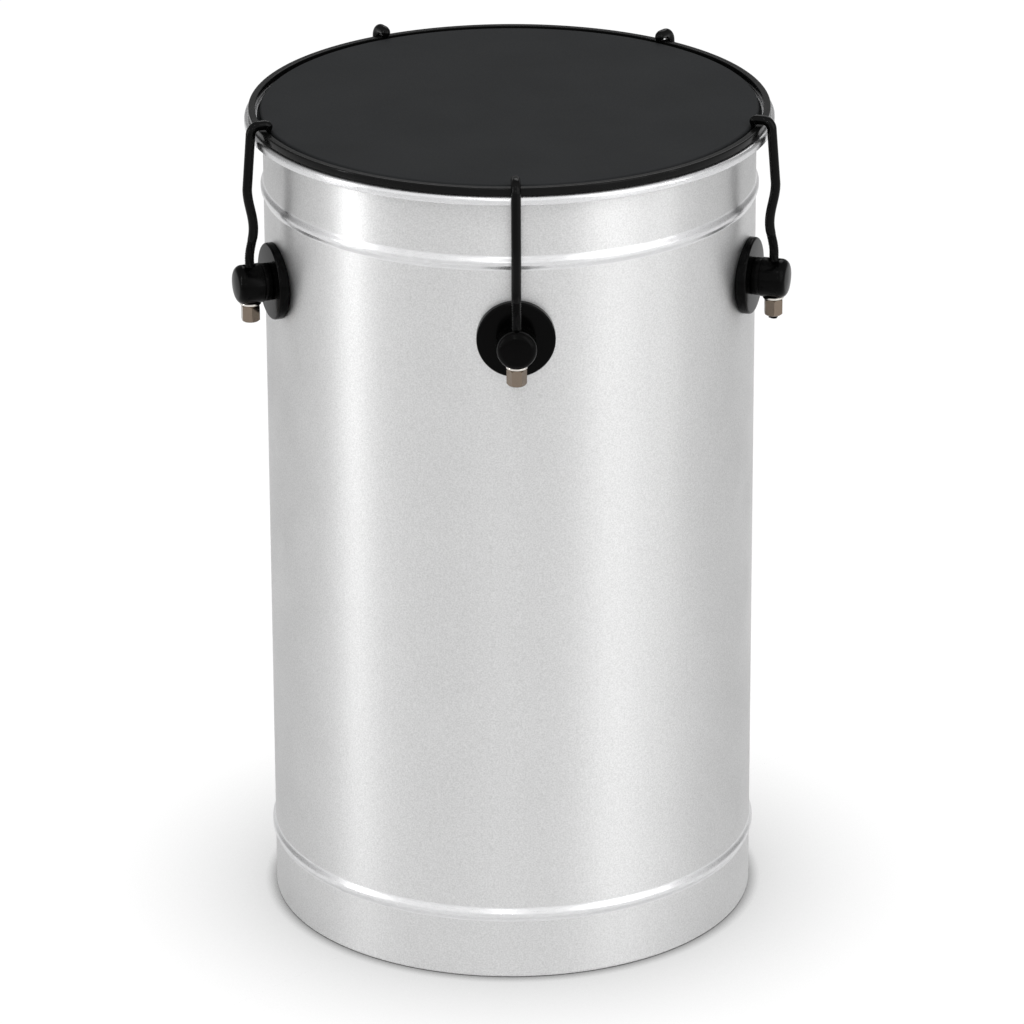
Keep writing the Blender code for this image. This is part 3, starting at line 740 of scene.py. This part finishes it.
class TANTAN_OT_pegs(bpy.types.Operator):
    """Builds the moulded pegs and their backing discs"""

    bl_idname = "tantan.pegs"
    bl_label = "Build pegs"

    def execute(self, context):
        s = sizes()
        level, rod = peg_level(), rod_distance()
        nylon = black_finish("black moulded nylon", colours().nylon, 0.17, 0.5 * MM, 0.004 * MM, 0.05)
        base, tip, low, high = front_reach("peg")
        radius, bend = s.peg_radius, s.peg_round
        neck, neck_end, fine = radius - 0.5 * MM, base + 4.5 * MM, 0.4 * MM
        dome = 0.5 * MM
        profile = [(0, tip)]
        profile += [((radius - bend) * share, tip - dome * share**2) for share in (0.25, 0.5, 0.75)]
        profile += arc((radius - bend, tip - dome - bend), bend, 84, 0, 14)
        profile += arc((radius - fine, neck_end + fine), fine, 0, -90, 4)
        profile += [(neck, neck_end), (neck, base + fine), (neck - fine, base), (0, base)]
        hole, sink = s.rod_radius + 0.5 * MM, 0.9 * MM
        reach = radius * 1.5
        bore = [(0, reach), (hole + sink, reach), (hole + sink, radius + 0.2 * MM), (hole, radius - sink)]
        bore += [(hole, -reach), (0, -reach)]
        bore_mesh = moved_mesh(turned_mesh("peg_bore", bore, 48, ring=False), Matrix.Translation((rod, 0, level)))
        flat_top = radius - 1.0 * MM
        flat = turned_mesh("peg_flat", [(0, -flat_top), (radius, -flat_top), (radius, -reach), (0, -reach)], 64, False)
        moved_mesh(flat, Matrix.Translation((rod, 0, level)))
        peg = moved_mesh(turned_mesh("peg", profile, 96, ring=False), outwards(level))
        peg = cut_mesh(peg, ("DIFFERENCE", bore_mesh), ("DIFFERENCE", flat))
        pegs = round_the_drum("pegs", peg, nylon)
        finish_piece(pegs, "drum", "black_nylon", *(f"peg_{place}" for place in PEG_AZIMUTHS))

        near, face, low, high = front_reach("peg_disc")
        radius, bend = (high - low) / 2, s.disc_round
        profile = [(0, face)] + arc((radius - bend, face - bend), bend, 90, 0, 8)
        profile += [(radius, near + fine), (radius - fine, near), (0, near)]
        disc = moved_mesh(turned_mesh("peg_disc", profile, 128, ring=False), outwards(level))
        hollow = [(0, high + radius), (s.shell_radius + 0.3 * MM, high + radius)]
        hollow += [(s.shell_radius + 0.3 * MM, low - radius), (0, low - radius)]
        disc = cut_mesh(disc, ("DIFFERENCE", turned_mesh("disc_hollow", hollow, 720, ring=False)))
        discs = round_the_drum("peg_discs", disc, nylon)
        finish_piece(discs, "drum", "black_nylon", *(f"peg_disc_{place}" for place in PEG_AZIMUTHS))
        return {"FINISHED"}


def hexagon_mesh(name, across_flats, height, chamfer, bore):
    """A hexagon about Z from 0 up, its corners turned away at both ends, with a bored hole or none."""
    corner = across_flats / math.sqrt(3)
    flat = across_flats / 2
    mesh = bpy.data.meshes.new(name)
    form = bmesh.new()
    bmesh.ops.create_cone(form, cap_ends=True, segments=6, radius1=corner, radius2=corner, depth=height)
    bmesh.ops.translate(form, verts=form.verts, vec=(0, 0, height / 2))
    form.to_mesh(mesh)
    form.free()
    ends = [(0, height), (flat - 0.3 * MM, height), (corner, height - chamfer), (corner, chamfer)]
    ends += [(flat - 0.3 * MM, 0), (0, 0)]
    cutters = [("INTERSECT", turned_mesh(f"{name}_ends", ends, 72, ring=False))]
    if bore:
        sink = 0.5 * MM
        hole = [(0, height + sink), (bore + 2 * sink, height + sink), (bore, height - sink), (bore, sink)]
        hole += [(bore + 2 * sink, -sink), (0, -sink)]
        cutters.append(("DIFFERENCE", turned_mesh(f"{name}_bore", hole, 48, ring=False)))
    return cut_mesh(mesh, *cutters)


def washer_mesh(name, outer, inner, thickness, bend):
    """A washer about Z from 0 up, with its outer edges rounded by stamping."""
    profile = [(inner, thickness)]
    profile += arc((outer - bend, thickness - bend), bend, 90, 0, 5)
    profile += arc((outer - bend, bend), bend, 0, -90, 5)
    profile += [(inner, 0)]
    return smoothed(turned_mesh(name, profile, 72))


class TANTAN_OT_nuts(bpy.types.Operator):
    """Builds the tuning nuts and their washers"""

    bl_idname = "tantan.nuts"
    bl_label = "Build nuts"

    def execute(self, context):
        s = sizes()
        # The nuts' colour holds a painted reflection: their faces are darker and browner than the same plating on the
        # washers.
        nickel = plated_steel("nickel-plated steel", colours().nickel, 0.16)
        near, far, low, high = front_reach("tuning_nut")
        for place, azimuth in PEG_AZIMUTHS.items():
            nut = hexagon_mesh("tuning_nut", s.nut_flats, high - low, 1.0 * MM, s.rod_radius + 0.1 * MM)
            turn = Matrix.Rotation(math.radians(NUT_TURNS[place]), 4, "Z")
            moved_mesh(nut, Matrix.Translation((rod_distance(), 0, low)) @ turn)
            piece = round_the_drum(f"{place}_nut_hexagon", nut, nickel, (place,))
            finish_piece(piece, f"{place}_nut", "nickel", f"tuning_nut_{place}")

        bright = plated_steel("bright nickel-plated washer", colours().washer, 0.16)
        near, far, low, high = front_reach("nut_washer")
        ring = washer_mesh("nut_washer", (far - near) / 2, s.rod_radius + 0.3 * MM, high - low, 0.4 * MM)
        moved_mesh(ring, Matrix.Translation((rod_distance(), 0, low)))
        rings = round_the_drum("nut_washers", ring, bright)
        finish_piece(rings, "drum", "nickel", *(f"nut_washer_{place}" for place in PEG_AZIMUTHS))
        return {"FINISHED"}


class TANTAN_OT_bolts(bpy.types.Operator):
    """Builds the bolts and washers inside the shell"""

    bl_idname = "tantan.bolts"
    bl_label = "Build bolts"

    def execute(self, context):
        s = sizes()
        level = peg_level()
        zinc = plated_steel("bright zinc-plated steel", colours().zinc, 0.3)
        head_start, shank_end, low, high = front_reach("peg_bolt")
        washer_start, washer_end, low, high = front_reach("bolt_washer")
        head = hexagon_mesh("peg_bolt", s.bolt_flats, 3.9 * MM, 0.8 * MM, 0)
        moved_mesh(head, outwards(level) @ Matrix.Translation((0, 0, head_start)))
        shank_radius, fine = 3.0 * MM, 0.5 * MM
        shank = [(0, shank_end), (shank_radius - fine, shank_end), (shank_radius, shank_end - fine)]
        shank += [(shank_radius, head_start + 2 * MM), (0, head_start + 2 * MM)]
        shank_mesh = moved_mesh(turned_mesh("bolt_shank", shank, 48, ring=False), outwards(level))
        bolts = round_the_drum("peg_bolts", cut_mesh(head, ("UNION", shank_mesh)), zinc)
        finish_piece(bolts, "drum", "zinc", *(f"peg_bolt_{place}" for place in PEG_AZIMUTHS))

        ring = washer_mesh("bolt_washer", (high - low) / 2, 3.3 * MM, washer_end - washer_start, 0.4 * MM)
        moved_mesh(ring, outwards(level) @ Matrix.Translation((0, 0, washer_start)))
        rings = round_the_drum("bolt_washers", ring, zinc)
        finish_piece(rings, "drum", "zinc", *(f"bolt_washer_{place}" for place in PEG_AZIMUTHS))
        return {"FINISHED"}


def softbox(name, place, target, width, height, power):
    lamp = bpy.data.lights.new(name, "AREA")
    lamp.shape = "RECTANGLE"
    lamp.size, lamp.size_y, lamp.energy = width, height, power
    obj = bpy.data.objects.new(name, lamp)
    obj.location = place
    obj.rotation_euler = (Vector(target) - Vector(place)).to_track_quat("-Z", "Y").to_euler()
    bpy.context.scene.collection.objects.link(obj)
    return obj


def white_paper(hex_value, shadow):
    """Matt white paper. The camera sees it evenly lit by a glow of its own, with a painted shadow from ambient
    occlusion: a soft dark ring round the standing drum, deepest at its foot.
    """
    made, tree, link, place = new_material("matt white paper", roughness=0.9, specular_ior_level=0.1)
    ray = tree.nodes.new("ShaderNodeLightPath").outputs
    seen = add_node(
        tree,
        "ShaderNodeMix",
        {"data_type": "RGBA"},
        {"Factor": ray["Is Camera Ray"], "A": linear(hex_value), "B": linear(hex_value, 0.02)},
        "Result",
    )
    link("Base Color", seen)
    # Painted shadow: the camera's glow is dimmed by ambient occlusion, in a wide soft ring round the drum and a thin
    # dark line at its foot.
    open_air = add_node(
        tree, "ShaderNodeAmbientOcclusion", {"samples": 6}, {"Distance": 120 * MM}, "AO"
    )
    painted_halo_shadow = add_node(tree, "ShaderNodeMath", {"operation": "POWER"}, {0: open_air, 1: shadow})
    painted_crevice_shadow = add_node(tree, "ShaderNodeAmbientOcclusion", {"samples": 4}, {"Distance": 8 * MM}, "AO")
    painted_foot_shadow = add_node(tree, "ShaderNodeMath", {"operation": "MULTIPLY"}, {0: painted_halo_shadow, 1: painted_crevice_shadow})
    to_camera = add_node(tree, "ShaderNodeMath", {"operation": "MULTIPLY"}, {0: ray["Is Camera Ray"], 1: painted_foot_shadow})
    # The glow that shows the paper white to the camera, carrying the painted shadow.
    glow_with_painted_shadow = add_node(tree, "ShaderNodeEmission", inputs={"Color": (1, 1, 1, 1), "Strength": to_camera})
    shader = tree.nodes["Principled BSDF"]
    both = add_node(tree, "ShaderNodeAddShader", inputs={0: shader.outputs["BSDF"], 1: glow_with_painted_shadow})
    tree.links.new(both, tree.nodes["Material Output"].inputs["Surface"])
    return made


class TANTAN_OT_stage(bpy.types.Operator):
    """Sets the pale floor, the soft lights and the camera"""

    bl_idname = "tantan.stage"
    bl_label = "Set stage"

    def execute(self, context):
        st = context.scene.tantan_stage
        mesh = bpy.data.meshes.new("studio_floor")
        form = bmesh.new()
        bmesh.ops.create_grid(form, x_segments=1, y_segments=1, size=30)
        form.to_mesh(mesh)
        form.free()
        floor = new_piece("studio_floor", mesh, white_paper(colours().floor, st.painted_floor_shadow))

        world = bpy.data.worlds.new("studio_air")
        context.scene.world = world
        world.use_nodes = True
        tree = world.node_tree
        sky = tree.nodes["Background"]
        sky.inputs["Color"].default_value = (1, 1, 1, 1)
        direction = add_node(tree, "ShaderNodeTexCoord", output="Generated")
        depth = add_node(tree, "ShaderNodeSeparateXYZ", inputs={"Vector": direction}, output="Y")
        front_light = add_node(
            tree,
            "ShaderNodeMapRange",
            {"interpolation_type": "SMOOTHSTEP"},
            {"Value": depth, "From Min": -0.3, "From Max": 0.7, "To Min": st.front_air, "To Max": st.back_air},
        )
        tree.links.new(front_light, sky.inputs["Strength"])

        middle = AXIS + Vector((0, 0, 0.3))
        softbox("left_strip", (-1.3, -0.37, 0.7), middle, 0.04, 0.9, 3.3)
        softbox("right_strip", (1.27, -0.46, 0.7), middle, 0.03, 0.9, 0.8)
        softbox("right_softbox", (0.83, -1.06, 1.0), middle, 0.4, 1.9, 1.1)
        softbox("far_right_softbox", (2.11, -1.84, 1.5), middle, 1.3, 3.0, 17)
        softbox("camera_side_softbox", (-0.25, -2.6, 1.45), middle, 0.25, 0.12, 2.5)
        softbox("front_top_softbox", (-0.4, -1.2, 2.2), middle, 0.24, 0.12, 2)
        softbox("back_softbox", (0.3, 1.6, 2.0), middle, 1.6, 1.2, 13.5)

        turn = Matrix.Rotation(st.camera_azimuth, 4, "Z")
        tilt = Matrix.Rotation(math.pi / 2 - st.camera_pitch, 4, "X")
        roll = Matrix.Rotation(st.camera_roll, 4, "Z")
        stand = Vector((st.camera_side, -st.camera_distance, st.camera_height))
        camera_data = bpy.data.cameras.new("studio_camera")
        camera_data.lens = st.camera_lens
        camera_data.sensor_width = 36
        camera_data.clip_end = 100
        camera = bpy.data.objects.new("studio_camera", camera_data)
        camera.matrix_world = Matrix.Translation(AXIS) @ turn @ Matrix.Translation(stand) @ tilt @ roll
        context.scene.collection.objects.link(camera)
        context.scene.camera = camera
        context.scene.view_settings.view_transform = "Standard"
        return {"FINISHED"}


OPERATORS = (
    TANTAN_OT_stage,
    TANTAN_OT_shell,
    TANTAN_OT_head,
    TANTAN_OT_counter_hoop,
    TANTAN_OT_hooks,
    TANTAN_OT_pegs,
    TANTAN_OT_nuts,
    TANTAN_OT_bolts,
)


class TANTAN_PT_panel(bpy.types.Panel):
    """Lists the steps that build the drum"""

    bl_idname = "TANTAN_PT_panel"
    bl_label = "Tantan"
    bl_space_type = "VIEW_3D"
    bl_region_type = "UI"
    bl_category = "Tantan"

    def draw(self, context):
        for step in OPERATORS:
            self.layout.operator(step.bl_idname)
        for group in (context.scene.tantan_sizes, context.scene.tantan_colours, context.scene.tantan_stage):
            for name in group.__annotations__:
                self.layout.prop(group, name)


GROUPS = {"tantan_sizes": TantanSizes, "tantan_colours": TantanColours, "tantan_stage": TantanStage}
CLASSES = (*GROUPS.values(), *OPERATORS, TANTAN_PT_panel)


def register():
    for cls in CLASSES:
        bpy.utils.register_class(cls)
    for name, group in GROUPS.items():
        setattr(bpy.types.Scene, name, bpy.props.PointerProperty(type=group))


def unregister():
    for name in GROUPS:
        delattr(bpy.types.Scene, name)
    for cls in reversed(CLASSES):
        bpy.utils.unregister_class(cls)


def main():
    register()
    for step in OPERATORS:
        group, name = step.bl_idname.split(".")
        getattr(getattr(bpy.ops, group), name)()


if __name__ == "__main__":
    main()
